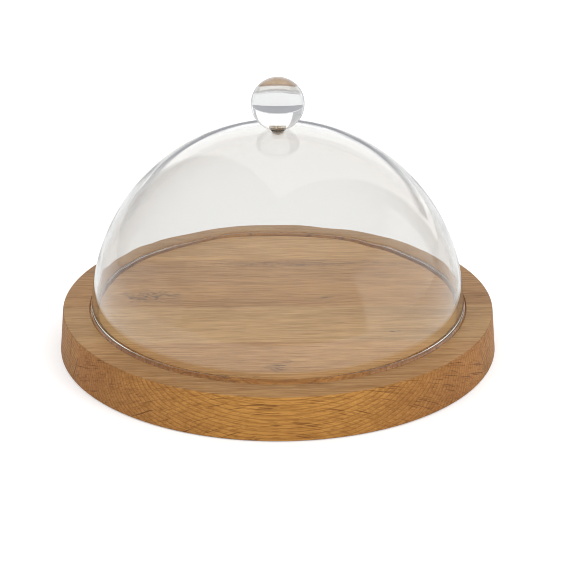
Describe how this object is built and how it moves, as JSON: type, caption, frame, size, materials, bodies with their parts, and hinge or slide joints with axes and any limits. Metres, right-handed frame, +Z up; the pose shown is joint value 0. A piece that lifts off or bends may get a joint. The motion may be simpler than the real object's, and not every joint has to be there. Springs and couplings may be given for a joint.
{
  "type": "cheese dome",
  "caption": "Clear glass bell with a screwed-on glass ball knob, lifting off a round grooved oak board.",
  "frame": {"origin": "centre of the board's underside, on the surface it stands on", "axes": "+Z up along the bell's axis, +X along the wood's grain, -Y towards the front"},
  "size_m": [0.3046, 0.3046, 0.1928],
  "materials": {
    "oak_front": "oiled",
    "oak_middle_front": "oiled",
    "oak_middle_back": "oiled",
    "oak_back": "oiled",
    "bell_glass": "clear, blown",
    "knob_glass": "clear, polished",
    "insert_brass": "knurled",
    "clear_bush": "clear",
    "fibre": "matte",
    "zinc_steel": "plated",
    "screw_steel": "plated"
  },
  "bodies": {
    "board": {"board_stave_front": "oak_front", "board_stave_middle_front": "oak_middle_front", "board_stave_middle_back": "oak_middle_back", "board_stave_back": "oak_back"},
    "dome": {"glass_bell": "bell_glass", "ball_knob": "knob_glass", "knob_insert": "insert_brass", "knob_bush": "clear_bush", "fibre_washer": "fibre", "steel_washer": "zinc_steel", "knob_screw": "screw_steel"}
  },
  "joints": [
    {"name": "dome_lift", "type": "slide", "parent": "board", "child": "dome", "axis": [0, 0, 1], "range_m": [0, 0.2]}
  ]
}
